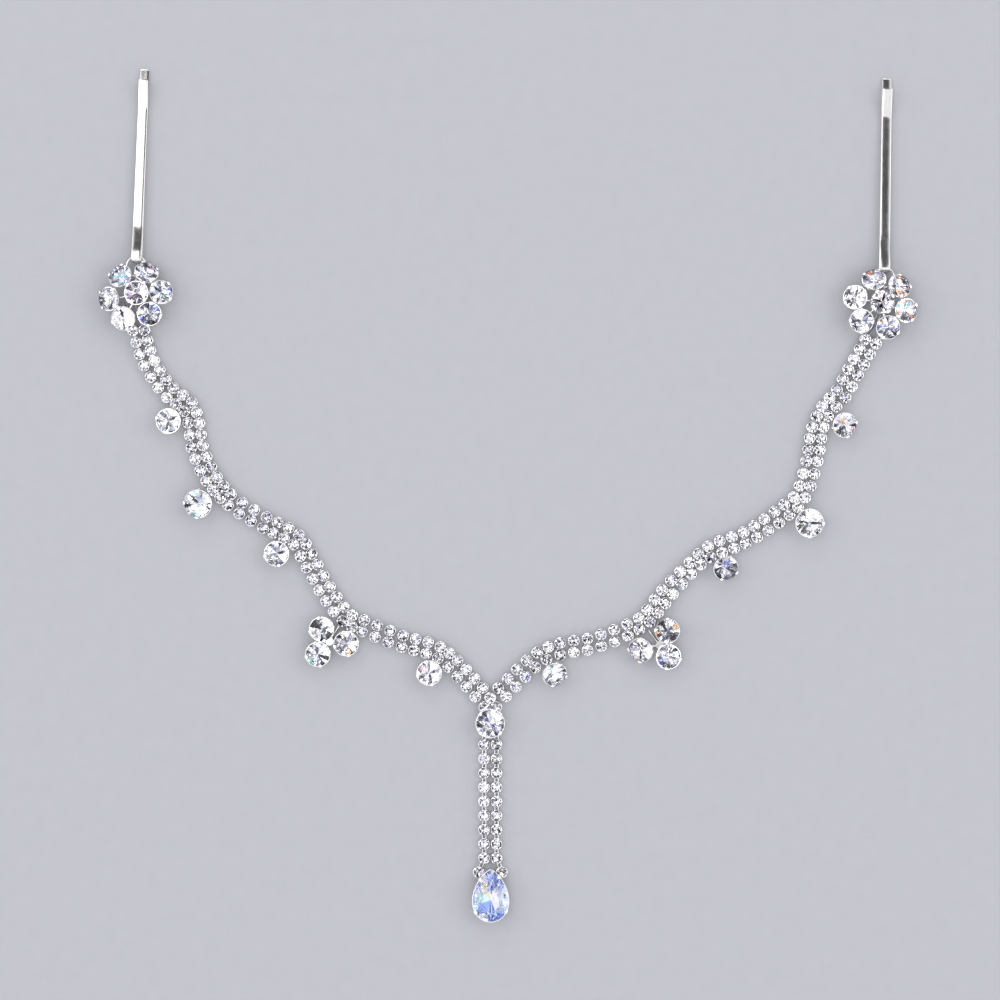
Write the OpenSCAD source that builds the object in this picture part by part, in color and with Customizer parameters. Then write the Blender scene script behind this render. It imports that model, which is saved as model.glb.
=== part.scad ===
// Hair chain of cup-set stones: two hair pins, two stone flowers, two rows of small stones on
// each side with drops along their lower edge, and a centre strand that ends in a pear stone.
// It lies flat with the backs of its settings on Z = 0. The origin is the back of the round
// centre setting, +Y runs up the centre line towards the pins and +Z faces out of the stones.

/* [Small settings] */
// Width across one small cup
cup_d = 3.1; // [3.1:0.02:3.2]
// Wall of a small cup
cup_wall = 0.25; // [0.2:0.05:0.3]
// Floor of every cup
floor_t = 0.3; // [0.2:0.05:0.5]
// Width across one small stone
chip_d = 2.7; // [2.6:0.02:2.74]
// Depth of a small stone below its girdle
chip_pavilion = 0.85; // [0.7:0.05:1]
// Height of a small stone above its girdle
chip_crown = 0.6; // [0.4:0.05:0.8]
// Space between the middles of the two rows
row_gap = 3.05; // [3:0.01:3.08]
// Thickness of the link wires
link_wire = 0.36; // [0.3:0.02:0.44]
// Space between the two link wires of a cup
link_gap = 0.9; // [0.7:0.05:1.1]
// How far the link wires run on from the chain under the flower
tail_l = 6; // [3:0.5:6.5]

/* [Large settings] */
// Width across the round drop settings
drop_d = 6.8; // [6.6:0.1:7]
// Width across the second drop of each side
large_drop_d = 7.8; // [7.4:0.1:8]
// Width across the flower settings
petal_d = 6.5; // [6.3:0.1:6.6]
// Width across the centre setting
centre_d = 7.9; // [7.5:0.1:8.2]
// Wall of a large setting
wall = 0.3; // [0.25:0.05:0.4]
// Width across the foot of a large setting
foot_d = 3.2; // [3:0.1:3.6]
// Height of the straight rim of a large setting
rim_h = 0.5; // [0.4:0.1:0.8]
// Thickness of a stone's girdle
girdle_t = 0.15; // [0.1:0.05:0.25]

/* [Claws] */
// Claws round each cup
claws_round = 4; // [3:1:6]
// Thickness of a claw on a small cup
small_claw_t = 0.2; // [0.18:0.01:0.22]
// Width of a claw on a small cup
small_claw_w = 0.5; // [0.4:0.02:0.54]
// Thickness of a claw on a large setting
claw_t = 0.4; // [0.3:0.05:0.5]
// Width of a claw on a large setting
claw_w = 0.9; // [0.7:0.1:1.2]
// How far a claw reaches over its stone, as a share of the claw's width
claw_reach = 0.55; // [0.4:0.05:0.7]

/* [Flowers] */
// Radius of the ring of petals, to the middles of their stones
petal_ring_r = 6.9; // [6.85:0.05:7.1]
// Height of the petals' feet above the back
petal_lift = 1.3; // [1.28:0.02:1.6]
// Height of the middle stone's foot above the petals' feet
middle_lift = 1.5; // [1.4:0.1:2]
// Radius of the solder post that the flower stands on
post_r = 1.1; // [0.9:0.1:1.4]
// Thickness of the solder wires
solder_wire = 0.6; // [0.5:0.05:0.7]

/* [Pear drop] */
// Width across the pear setting
pear_w = 10; // [9.5:0.1:10.5]
// Length of the pear setting
pear_l = 14.3; // [13.5:0.1:15]
// Depth of the pear stone below its girdle
pear_pavilion = 3; // [2.6:0.1:3.4]
// Height of the pear stone above its girdle
pear_crown = 1.5; // [1.2:0.1:1.8]
// How far the pear setting's foot stands in from its rim
pear_inset = 1.1; // [1:0.05:1.15]
// Height where the rim of the pear setting begins
pear_shelf = 2.05; // [1.8:0.05:2.1]

/* [Centre strand] */
// Space between the rows of the centre strand, along it
strand_pitch = 3.8; // [3.7:0.05:3.9]
// Space between the two rows of the centre strand, across it
strand_gap = 3.3; // [3.3:0.02:3.36]
// Pairs of cups in the straight run of the strand
strand_pairs = 9; // [6:1:12]
// From the middle of the centre setting to the first pair
strand_start = 5.8; // [5.8:0.1:6.2]
// Half the space between the middles of the two flared cups
flare_x = 3.1; // [3:0.1:3.4]

/* [Hair pins] */
// Length of a hair pin
pin_l = 52; // [48:1:56]
// Width of the flat wire
pin_w = 2.6; // [2.2:0.1:3]
// Thickness of the flat wire
pin_t = 0.5; // [0.4:0.05:0.6]
// Outer radius of the bend
pin_bend_r = 1.35; // [1.25:0.05:1.5]
// How much shorter the front leg is
pin_step = 2.8; // [2:0.1:4]
// Space between the legs where they nip the hair
nip_gap = 0.12; // [0.1:0.02:0.3]
// Length of the raised tip of the front leg
tip_l = 7.8; // [6:0.2:9]
// Height of the raised tip's end above the nip
tip_rise = 1.6; // [1:0.1:2]
// Length of the shoulder from the bend to the straight leg
shoulder_l = 10; // [8:0.5:12]
// Space between the legs where the shoulder ends
waist_gap = 0.75; // [0.5:0.05:1]

/* [Pin rings] */
// Thickness of the ring's wire
ring_wire = 0.42; // [0.36:0.02:0.46]
// Radius of the ring, to the middle of its wire
ring_r = 2.65; // [2.55:0.05:2.7]
// Thickness of the eye's wire
eye_wire = 0.4; // [0.34:0.02:0.44]
// Radius of the eye, to the middle of its wire
eye_r = 0.64; // [0.6:0.02:0.7]
// Height of the ring's wire above the back, to its middle
ring_z = 0.95; // [0.9:0.01:0.97]

/* [Clearances] */
// Clear space between a stone and its metal
stone_gap = 0.11; // [0.1:0.01:0.12]
// Clear space between a solder wire and the setting that it reaches for
join_gap = 0.2; // [0.15:0.01:0.3]
// Clear space between a pin ring and the bend of the pin
ring_gap = 0.14; // [0.12:0.01:0.3]
// Height of the wires above the back
back_gap = 0.03; // [0.02:0.01:0.06]

/* [Hidden] */
$fn = 40;

// The route of the chain on each side, from the flower to the centre, through pairs of cups that
// lie abreast. Each pair is [x, y, heading in degrees, cups of the outer row, cups of the inner
// row], counted up to the next pair.
CHAIN_ROUTE = [
    [
        [-94, 105, -88, 3, 3], [-91.2, 96.2, -64, 3, 3], [-85.6, 88.3, -34, 2, 2],
        [-80.8, 84.5, -42, 2, 1], [-79.3, 80.2, -92, 2, 2], [-78.4, 73.9, -80, 3, 3],
        [-74.5, 65.2, -70, 2, 3], [-69.7, 59.7, -16, 3, 3], [-60.3, 53.6, -18, 3, 3],
        [-51.9, 49, -28, 2, 1], [-49.3, 44.9, -78, 3, 3], [-44.3, 36, -72, 3, 3],
        [-38.2, 28, -60, 1, 2], [-34, 26, -12, 3, 3], [-23.5, 21.8, -8, 3, 3],
        [-13.7, 18.8, -12, 2, 1], [-10, 15.8, -56, 3, 3], [-3, 8.2, -40, 0, 0]
    ],
    [
        [101.7, 102, -112, 3, 3], [97, 93.8, -122, 2, 2], [93.8, 88.05, -132, 2, 2],
        [89.5, 83.3, -150, 2, 1],
        [87.6, 79.1, -90, 3, 3], [86, 70, -90, 3, 3], [82.65, 60.3, -94, 1, 2],
        [79.3, 57, -153, 4, 4], [68, 49.5, -170, 3, 3], [58.6, 45.7, -167, 2, 1],
        [54.8, 42.6, -100, 3, 3], [47.4, 35, -110, 3, 3], [41.2, 27.5, -106, 1, 2],
        [36.7, 24.8, -176, 3, 3], [26, 21, -180, 2, 2], [18.7, 19.8, -180, 2, 1],
        [13.8, 17.9, -126, 4, 4], [3.2, 8.2, -136, 0, 0]
    ]
];

// Drops along the inner row. Each row is
// [cup of the inner row, how far the rim reaches over the chain, lean in degrees, width].
DROPS = [
    [
        [8.1, 0.5, 8, drop_d], [15.15, 0.9, 16, large_drop_d],
        [22.2, 0.7, 6, drop_d], [38, 0.65, 5, drop_d]
    ],
    [
        [6.95, 0.9, 20, drop_d], [15.3, 0.8, 10, large_drop_d],
        [22.25, 1.75, 23, drop_d], [38.1, 1.75, 30, drop_d]
    ]
];

// Clusters of three drops. Each row is [along the chain, out from it, lean in degrees, turn of
// the lean], measured from the middle of cup CLUSTER_CUP of the inner row.
CLUSTER_CUP = [30.5, 31];
CLUSTERS = [
    [[-5, 4.5, 5, 0], [-2.3, 10.7, 5, 0], [2.6, 4.3, 5, 0]],
    [[-6.2, 5.1, 20, -170], [-2.6, 9.95, 6, 0], [1.7, 4.5, 26, -80]]
];

// Flowers: middle of the ring of petals, turn of the middle stone and its place
FLOWER_AT = [[-94.6, 114.2], [104, 111.9]];
FLOWER_TURN = [3, -15];
MIDDLE_OFFSET = [[0.5, 0.5], [0.3, 0.4]];
// Petals of each flower. Each row is [direction from the flower's middle, how far outside the ring,
// outward lean], with angles in degrees.
PETALS = [
    [[6, 0.2, 20], [63, 0, 36], [128, -0.4, 28], [188.5, 0.25, 30], [243.5, 0.15, 14], [307, -0.5, 16]],
    [[-15, 0.2, 18], [43, 0, 26], [106, -0.1, 33], [166, 0.2, 16], [222, 0.05, 15], [287, -0.2, 14]]
];
// Direction from the flower's middle to the eye that the pin ring passes through
EYE_TURN = [92, 75];
// Distance of that eye from the flower's middle
EYE_OUT = [5.25, 4.75];
// How far each pin has slipped along its ring, past its clear space
PIN_SLIP = [0.5, 0];
// Direction in which the pin ring hangs from the eye
RING_TURN = [86, 88];
// Lean of each hair pin from the Y axis in degrees
PIN_LEAN = [-2.3, -0.8];
// Pear drop: middle of the stone
PEAR_AT = [0.1, -45.9];
// Places on the pear's outline where claws stand, in degrees from its tip
PEAR_CLAWS = [43, 127, 231, 309];
// Three cups between the ends of the chain and the centre setting, each with its heading
JUNCTION = [[0, 6.7, 90], [-1.6, 4.2, 90], [1.6, 4.2, 90]];

// Cut of the stones, as shares of their width
table_share = 0.55;
star_share = 0.78;
lower_share = 0.3;
crown_share = 0.16;
pavilion_share = 0.37;
span_steps = 12;
link_sides = 5;

cup_r = cup_d / 2;
chip_r = chip_d / 2;

// Heights in a cup that holds a stone of radius r over a bore of radius b
function point_z() = floor_t + stone_gap;
function girdle_z(pavilion) = point_z() + pavilion;
function rim_z(r, b, pavilion) =
    let (slope = atan2(pavilion, r))
    girdle_z(pavilion) - (r - b) * tan(slope) - stone_gap / cos(slope);

// Stone widths that leave the claws standing on the rim of the setting
function stone_r(setting_d) = setting_d / 2 - 2 * stone_gap;
function pavilion_of(setting_d) = pavilion_share * 2 * stone_r(setting_d);
function crown_of(setting_d) = crown_share * 2 * stone_r(setting_d);

// The cups of the route's pairs in one row: side is 1 to the left of the heading, -1 to the right
function row_ends(route, side) =
    [for (p = route) [p.x, p.y] + side * row_gap / 2 * [-sin(p[2]), cos(p[2])]];

// A smooth curve from each of these cups to the next, which halves the corner at every cup
function unit(v) = norm(v) > 0 ? v / norm(v) : [0, 0];
function tangent(ends, i) =
    unit(unit(ends[i] - ends[max(i - 1, 0)]) + unit(ends[min(i + 1, len(ends) - 1)] - ends[i]));
function curve(ends, i, t) =
    let (a = ends[i], b = ends[i + 1], reach = norm(b - a), p = tangent(ends, i) * reach,
        q = tangent(ends, i + 1) * reach)
    a + p * t + (3 * (b - a) - 2 * p - q) * t * t + (2 * (a - b) + p + q) * t * t * t;
function span_line(ends, i) = [for (k = [0:span_steps]) curve(ends, i, k / span_steps)];
function lengths(line) =
    [for (i = 0, s = 0; i < len(line); s = s + (i + 1 < len(line) ? norm(line[i + 1] - line[i]) : 0),
        i = i + 1) s];
function on_line(line, run, s) = [
    lookup(s, [for (i = [0:len(line) - 1]) [run[i], line[i].x]]),
    lookup(s, [for (i = [0:len(line) - 1]) [run[i], line[i].y]])
];
function placed(line, run, s) =
    let (whole = run[len(run) - 1], a = on_line(line, run, max(s - 0.3, 0)),
        b = on_line(line, run, min(s + 0.3, whole)), p = on_line(line, run, s))
    [p.x, p.y, atan2(b.y - a.y, b.x - a.x)];
function row(route, side, column) =
    let (ends = row_ends(route, side))
    [
        for (i = [0:len(route) - 2])
            let (line = span_line(ends, i), run = lengths(line), n = route[i][column],
                last = i == len(route) - 2 ? n : n - 1)
            for (k = [0:last]) placed(line, run, run[len(run) - 1] * k / n)
    ];

// The outer row lies above the route, the inner row below it
OUTER = [row(CHAIN_ROUTE[0], 1, 3), row(CHAIN_ROUTE[1], -1, 3)];
INNER = [row(CHAIN_ROUTE[0], -1, 4), row(CHAIN_ROUTE[1], 1, 4)];

// Each cup is turned a little, where it must be, to keep its claws away from the cups beside it
function aside(a, b) =
    let (step = 360 / claws_round, d = ((a - b) % step + step) % step) min(d, step - d);
function spun(p, places) =
    let (near = [for (q = places) if (q != p && norm([q.x - p.x, q.y - p.y]) < 1.03 * cup_d)
            atan2(q.y - p.y, q.x - p.x)],
        turns = [0, 8, -8, 16, -16, 24, -24, 32, -32, 40],
        room = [for (t = turns)
            min(concat([90], [for (b = near) aside(p[2] + t + 180 / claws_round, b)]))],
        free = [for (i = [0:len(turns) - 1]) if (room[i] > 26 || room[i] == max(room)) turns[i]])
    [p.x, p.y, p[2] + free[0]];
function all_spun(places) = [for (p = places) spun(p, places)];
CHAIN = [for (hand = [0, 1]) all_spun(concat(OUTER[hand], INNER[hand]))];

// A place on the inner row counted in cups, with the direction that points away from the chain
function on_inner(hand, k) =
    let (i = floor(k), a = INNER[hand][i], b = INNER[hand][i + 1], share = k - i,
        turn = a[2] + (b[2] - a[2]) * share)
    [a.x + (b.x - a.x) * share, a.y + (b.y - a.y) * share, turn, turn + (hand == 0 ? -90 : 90)];

function drop_place(hand, i) =
    let (d = DROPS[hand][i], p = on_inner(hand, d[0]), out = cup_r + d[3] / 2 - d[1])
    [p.x + out * cos(p[3]), p.y + out * sin(p[3]), p[3], d[2], d[3]];
function cluster_place(hand, i) =
    let (c = CLUSTERS[hand][i], p = on_inner(hand, CLUSTER_CUP[hand]))
    [
        p.x + c.x * cos(p[2]) + c.y * cos(p[3]), p.y + c.x * sin(p[2]) + c.y * sin(p[3]),
        p[3] + c[3], c[2], drop_d
    ];

// The strand: straight pairs, then two flared cups beside the tip of the pear
strand_end = -strand_start - (strand_pairs - 1) * strand_pitch;
flare_at = [for (s = [-1, 1]) [s * flare_x, PEAR_AT.y + pear_l / 2 - 1.2, 90]];
STRAND = concat(
    [for (i = [0:strand_pairs - 1], s = [-1, 1])
        [s * strand_gap / 2, -strand_start - i * strand_pitch, 90]],
    flare_at
);

// Moves its children to a place [x, y, direction, lean] so that the foot still stands on Z = 0
module leaning(place, foot_r, lift = 0) {
    translate([place.x, place.y, lift + foot_r * sin(place[3])])
        rotate([0, 0, place[2]]) rotate([0, place[3], 0]) children();
}

// Profile of a claw, out from the edge of the stone
module hook(z0, top_z, slope, t, reach) {
    over = function (q) top_z - q * tan(slope) + stone_gap / cos(slope);
    polygon([
        [stone_gap, z0], [stone_gap + t, z0], [stone_gap + t, over(stone_gap)],
        [-reach, over(-reach) + 0.7 * t], [-reach, over(-reach)], [stone_gap, over(stone_gap)]
    ]);
}

// Claws round a stone of radius r whose girdle's upper edge is at top_z
module claws(r, z0, top_z, slope, t, w) {
    for (i = [0:claws_round - 1])
        rotate([0, 0, (i + 0.5) * 360 / claws_round]) translate([r, 0, 0])
            rotate([90, 0, 0]) linear_extrude(w, center = true)
                hook(z0, top_z, slope, t, claw_reach * w);
}

small_girdle_z = girdle_z(chip_pavilion);
small_rim_z = rim_z(chip_r, cup_r - cup_wall, chip_pavilion);
small_slope = atan2(chip_crown, chip_r * (1 - table_share));

module small_hollow() {
    translate([0, 0, floor_t]) cylinder(r = cup_r - cup_wall, h = small_rim_z);
}
module small_claws() {
    claws(chip_r, floor_t, small_girdle_z, small_slope, small_claw_t, small_claw_w);
}
module small_links(from, to, wires = 2) {
    d = to - from;
    run = norm([d.x, d.y]);
    inside = cup_r - cup_wall / 2;
    translate([from.x, from.y, link_wire / 2 + back_gap]) rotate([0, 0, atan2(d.y, d.x)])
        for (i = [0:wires - 1])
            translate([inside, (i - (wires - 1) / 2) * link_gap, 0]) rotate([0, 90, 0])
                cylinder(d = link_wire, h = run - 2 * inside, $fn = link_sides);
}

function tail(p) = [p, p - (tail_l + cup_d) * [cos(p[2]), sin(p[2]), 0], 2];

// Small cups at the given places, joined along each run of links
module small_cups(places, links) {
    difference() {
        union() {
            for (p = places) translate([p.x, p.y, 0]) cylinder(r = cup_r, h = small_rim_z);
            for (l = links) small_links(l[0], l[1], l[2]);
        }
        for (p = places) translate([p.x, p.y, 0]) small_hollow();
    }
    for (p = places) translate([p.x, p.y, 0]) rotate([0, 0, p[2]]) small_claws();
}

// A small stone: flat table, eight crown facets and eight facets down to its point
module chip() {
    ring = function (r, z) [for (i = [0:7]) [r * cos(45 * i + 22.5), r * sin(45 * i + 22.5), z]];
    points = concat(
        ring(chip_r * table_share, small_girdle_z + chip_crown), ring(chip_r, small_girdle_z),
        [[0, 0, point_z()]]
    );
    polyhedron(points, concat(
        [[for (i = [7:-1:0]) i]],
        [for (i = [0:7]) let (j = (i + 1) % 8) each [[i, j, 8 + j], [i, 8 + j, 8 + i]]],
        [for (i = [0:7]) let (j = (i + 1) % 8) [8 + i, 8 + j, 16]]
    ));
}
module chips(places) {
    for (p = places) translate([p.x, p.y, 0]) rotate([0, 0, p[2]]) chip();
}

// A brilliant cut over any outline of 16 points: table, 8 stars, 8 kites, 16 upper facets,
// a thin girdle, 16 lower facets and 8 long ones that run down to the point
module brilliant(outline, pavilion, crown) {
    g = girdle_z(pavilion);
    ring = function (ids, share, z) [for (i = ids) [outline[i].x * share, outline[i].y * share, z]];
    even = [0:2:15];
    odd = [1:2:15];
    main = cos(22.5);
    star_z = g + girdle_t + crown * (1 - star_share * main) / (1 - table_share);
    lower_z = g - pavilion * (1 - lower_share * main);
    points = concat(
        ring(even, table_share, g + girdle_t + crown), ring(odd, star_share, star_z),
        ring([0:15], 1, g + girdle_t), ring([0:15], 1, g), ring(odd, lower_share, lower_z),
        [[0, 0, point_z()]]
    );
    polyhedron(points, concat(
        [[for (i = [7:-1:0]) i]],
        [for (i = [0:7]) let (j = (i + 1) % 8, a = 16 + 2 * i, b = a + 1, c = 16 + 2 * j) each [
            [i, j, 8 + i], [i, 8 + i, a], [j, c, 8 + i], [8 + i, b, a], [8 + i, c, b]
        ]],
        [for (i = [0:15]) let (j = (i + 1) % 16) each [
            [16 + i, 16 + j, 32 + j], [16 + i, 32 + j, 32 + i]
        ]],
        [for (i = [0:7]) let (j = (i + 1) % 8, a = 32 + 2 * i, b = a + 1, c = 32 + 2 * j) each [
            [a, b, 48 + i], [b, c, 48 + i], [a, 48 + i, 56], [c, 56, 48 + i]
        ]]
    ));
}
module round_stone(setting_d) {
    r = stone_r(setting_d);
    brilliant([for (i = [0:15]) [r * cos(22.5 * i), r * sin(22.5 * i)]],
        pavilion_of(setting_d), crown_of(setting_d));
}

// A large round setting: a foot that widens to a straight rim
module large_body(d) {
    r = stone_r(d);
    rim = rim_z(r, d / 2 - wall, pavilion_of(d));
    rotate_extrude() polygon([[0, 0], [foot_d / 2, 0], [d / 2, rim - rim_h], [d / 2, rim], [0, rim]]);
}
module large_hollow(d) {
    r = stone_r(d);
    rim = rim_z(r, d / 2 - wall, pavilion_of(d));
    rotate_extrude() polygon([
        [0, floor_t], [foot_d / 2 - wall, floor_t], [d / 2 - wall, rim - rim_h],
        [d / 2 - wall, rim + wall], [0, rim + wall]
    ]);
}
module large_claws(d) {
    r = stone_r(d);
    rim = rim_z(r, d / 2 - wall, pavilion_of(d));
    claws(r, rim - rim_h, girdle_z(pavilion_of(d)) + girdle_t,
        atan2(crown_of(d), r * (1 - table_share)), claw_t, claw_w);
}

// Chain, drops and clusters
module chain_cups(hand) {
    rows = [OUTER[hand], INNER[hand]];
    color("silver") small_cups(
        CHAIN[hand],
        concat(
            [for (r = rows, i = [0:len(r) - 2]) [r[i], r[i + 1], 1]],
            [for (r = rows) tail(r[0])]
        )
    );
}
module chain_stones(hand) {
    color("ghostwhite") chips(CHAIN[hand]);
}
module drop_setting(hand, i) {
    p = drop_place(hand, i);
    cup = on_inner(hand, DROPS[hand][i][0]);
    color("silver") {
        difference() {
            union() {
                leaning(p, foot_d / 2) large_body(p[4]);
                solder(p, cup, solder_wire / 2 + back_gap, -foot_d / 4, cup_r + join_gap);
            }
            leaning(p, foot_d / 2) large_hollow(p[4]);
        }
        leaning(p, foot_d / 2) large_claws(p[4]);
    }
}
module drop_stone(hand, i) {
    p = drop_place(hand, i);
    color("ghostwhite") leaning(p, foot_d / 2) round_stone(p[4]);
}
module cluster_setting(hand) {
    places = [for (i = [0:2]) cluster_place(hand, i)];
    middle = (places[0] + places[1] + places[2]) / 3;
    color("silver") {
        difference() {
            union() {
                for (p = places) leaning(p, foot_d / 2) large_body(p[4]);
                translate([middle.x, middle.y, 0]) cylinder(r = post_r, h = solder_wire + 2 * back_gap);
                for (p = places)
                    solder(middle, p, solder_wire / 2 + back_gap, post_r / 2, -foot_d / 4);
                solder(middle, on_inner(hand, CLUSTER_CUP[hand]), solder_wire / 2 + back_gap,
                    post_r / 2, cup_r + join_gap);
            }
            for (p = places) leaning(p, foot_d / 2) large_hollow(p[4]);
        }
        for (p = places) leaning(p, foot_d / 2) large_claws(p[4]);
    }
}
module cluster_stone(hand, i) {
    p = cluster_place(hand, i);
    color("ghostwhite") leaning(p, foot_d / 2) round_stone(p[4]);
}

// A wire at height z from one place to another, which may start a little out from the first
// and end short of the second
module solder(from, to, z, start, short = 0) {
    d = [to.x - from.x, to.y - from.y];
    translate([from.x, from.y, z]) rotate([0, 90, atan2(d.y, d.x)]) translate([0, 0, start])
        cylinder(d = solder_wire, h = norm(d) - start - short);
}

// Flowers
function petal_place(hand, i) =
    let (p = PETALS[hand][i], c = FLOWER_AT[hand],
        out = petal_ring_r + p[1] - girdle_z(pavilion_of(petal_d)) * sin(p[2]))
    [c.x + out * cos(p[0]), c.y + out * sin(p[0]), p[0], p[2], petal_d];
function middle_place(hand) =
    let (c = FLOWER_AT[hand] + MIDDLE_OFFSET[hand]) [c.x, c.y, FLOWER_TURN[hand], 0, petal_d];
function eye_place(hand) =
    FLOWER_AT[hand] + EYE_OUT[hand] * [cos(EYE_TURN[hand]), sin(EYE_TURN[hand])];
module flower_setting(hand) {
    petals = [for (i = [0:5]) petal_place(hand, i)];
    middle = middle_place(hand);
    wire_z = petal_lift + floor_t + solder_wire / 2 + back_gap;
    eye = eye_place(hand);
    color("silver") {
        difference() {
            union() {
                for (p = petals) leaning(p, foot_d / 2, petal_lift) large_body(petal_d);
                leaning(middle, 0, petal_lift + middle_lift) large_body(petal_d);
                translate([middle.x, middle.y, 0])
                    cylinder(r = post_r, h = petal_lift + middle_lift + floor_t / 2);
                for (p = petals) solder(middle, p, wire_z, post_r / 2, -foot_d / 4);
                solder(middle, [eye.x, eye.y - eye_r], ring_z, post_r / 2);
            }
            for (p = petals) leaning(p, foot_d / 2, petal_lift) large_hollow(petal_d);
            leaning(middle, 0, petal_lift + middle_lift) large_hollow(petal_d);
        }
        for (p = petals) leaning(p, foot_d / 2, petal_lift) large_claws(petal_d);
        leaning(middle, 0, petal_lift + middle_lift) large_claws(petal_d);
        translate([eye.x, eye.y, ring_z]) rotate([90, 0, 90])
            rotate_extrude() translate([eye_r, 0]) circle(d = eye_wire);
    }
}
module flower_stone(hand, i) {
    color("ghostwhite") leaning(petal_place(hand, i), foot_d / 2, petal_lift) round_stone(petal_d);
}
module flower_middle_stone(hand) {
    color("ghostwhite")
        leaning(middle_place(hand), 0, petal_lift + middle_lift) round_stone(petal_d);
}

// The ring hangs from the eye, and the pin from the far side of the ring
function ring_dir(hand) = [cos(RING_TURN[hand]), sin(RING_TURN[hand])];
bend_depth = pin_bend_r
    - sqrt(pow(pin_bend_r - pin_t, 2) - pow(pin_bend_r - ring_z + ring_wire / 2, 2));
pin_hang = ring_r + sqrt(ring_r * ring_r - pin_w * pin_w / 4) - ring_wire / 2 - ring_gap
    - bend_depth;

// Hair pins: the middle line of the wire from the back leg's tip round the bend to the front
bend_mid = pin_bend_r - pin_t / 2;
nip_z = pin_t * 1.5 + nip_gap;
waist_z = pin_t * 1.5 + waist_gap;
function ease(t) = (1 - cos(180 * t)) / 2;
PIN_LINE = concat(
    [[pin_l, pin_t / 2], [pin_bend_r, pin_t / 2]],
    [for (a = [10:10:170]) [pin_bend_r - bend_mid * sin(a), pin_bend_r - bend_mid * cos(a)]],
    [for (t = [0:0.1:1])
        [pin_bend_r + shoulder_l * t,
            2 * pin_bend_r - pin_t / 2 + (waist_z - 2 * pin_bend_r + pin_t / 2) * ease(t)]],
    [[pin_l - pin_step - tip_l - 0.6, nip_z + 0.01], [pin_l - pin_step - tip_l, nip_z],
        [pin_l - pin_step - tip_l + 0.6, nip_z + 0.06], [pin_l - pin_step, nip_z + tip_rise]]
);
function side_of(line, i, off) =
    let (a = line[max(i - 1, 0)], b = line[min(i + 1, len(line) - 1)], d = (b - a) / norm(b - a))
    line[i] + off * [-d.y, d.x];
module hair_pin(hand) {
    n = len(PIN_LINE);
    at = eye_place(hand) + (pin_hang - PIN_SLIP[hand]) * ring_dir(hand);
    color("gainsboro") translate([at.x, at.y, 0])
        rotate([0, 0, PIN_LEAN[hand]]) rotate([90, 0, 90]) linear_extrude(pin_w, center = true)
            polygon(concat(
                [for (i = [0:n - 1]) side_of(PIN_LINE, i, pin_t / 2)],
                [for (i = [n - 1:-1:0]) side_of(PIN_LINE, i, -pin_t / 2)]
            ));
}

module pin_ring(hand) {
    at = eye_place(hand) + ring_r * ring_dir(hand);
    color("silver") translate([at.x, at.y, ring_z])
        rotate_extrude() translate([ring_r, 0]) circle(d = ring_wire);
}

// Centre setting with the three junction cups
module centre_setting() {
    first = all_spun(JUNCTION);
    color("silver") {
        difference() {
            union() {
                large_body(centre_d);
                for (p = first) translate([p.x, p.y, 0]) cylinder(r = cup_r, h = small_rim_z);
                small_links(first[0], first[1]);
                small_links(first[0], first[2]);
                for (p = [first[1], first[2]]) solder([0, 0], p, solder_wire / 2 + back_gap, foot_d / 4);
            }
            for (p = first) translate([p.x, p.y, 0]) small_hollow();
            large_hollow(centre_d);
        }
        large_claws(centre_d);
        for (p = first) translate([p.x, p.y, 0]) rotate([0, 0, p[2]]) small_claws();
    }
}
module centre_stone() {
    color("ghostwhite") round_stone(centre_d);
}

// Centre strand, whose first wires reach for the foot of the centre setting
function large_r(d, z) =
    let (rim = rim_z(stone_r(d), d / 2 - wall, pavilion_of(d)))
    foot_d / 2 + z * (d - foot_d) / 2 / (rim - rim_h);
module drop_strand_cups() {
    r = large_r(centre_d, link_wire + back_gap) + join_gap;
    x = (strand_gap - link_gap - link_wire) / 2;
    reach = cup_r - cup_wall / 2 - sqrt(r * r - x * x);
    color("silver") small_cups(STRAND, concat(
        [for (i = [0:len(STRAND) - 3]) [STRAND[i], STRAND[i + 2], 2]],
        [for (i = [0, 1]) [STRAND[i], [STRAND[i].x, reach, 90], 2]]
    ));
}
module drop_strand_stones() {
    color("ghostwhite") chips(concat(STRAND, all_spun(JUNCTION)));
}

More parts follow.
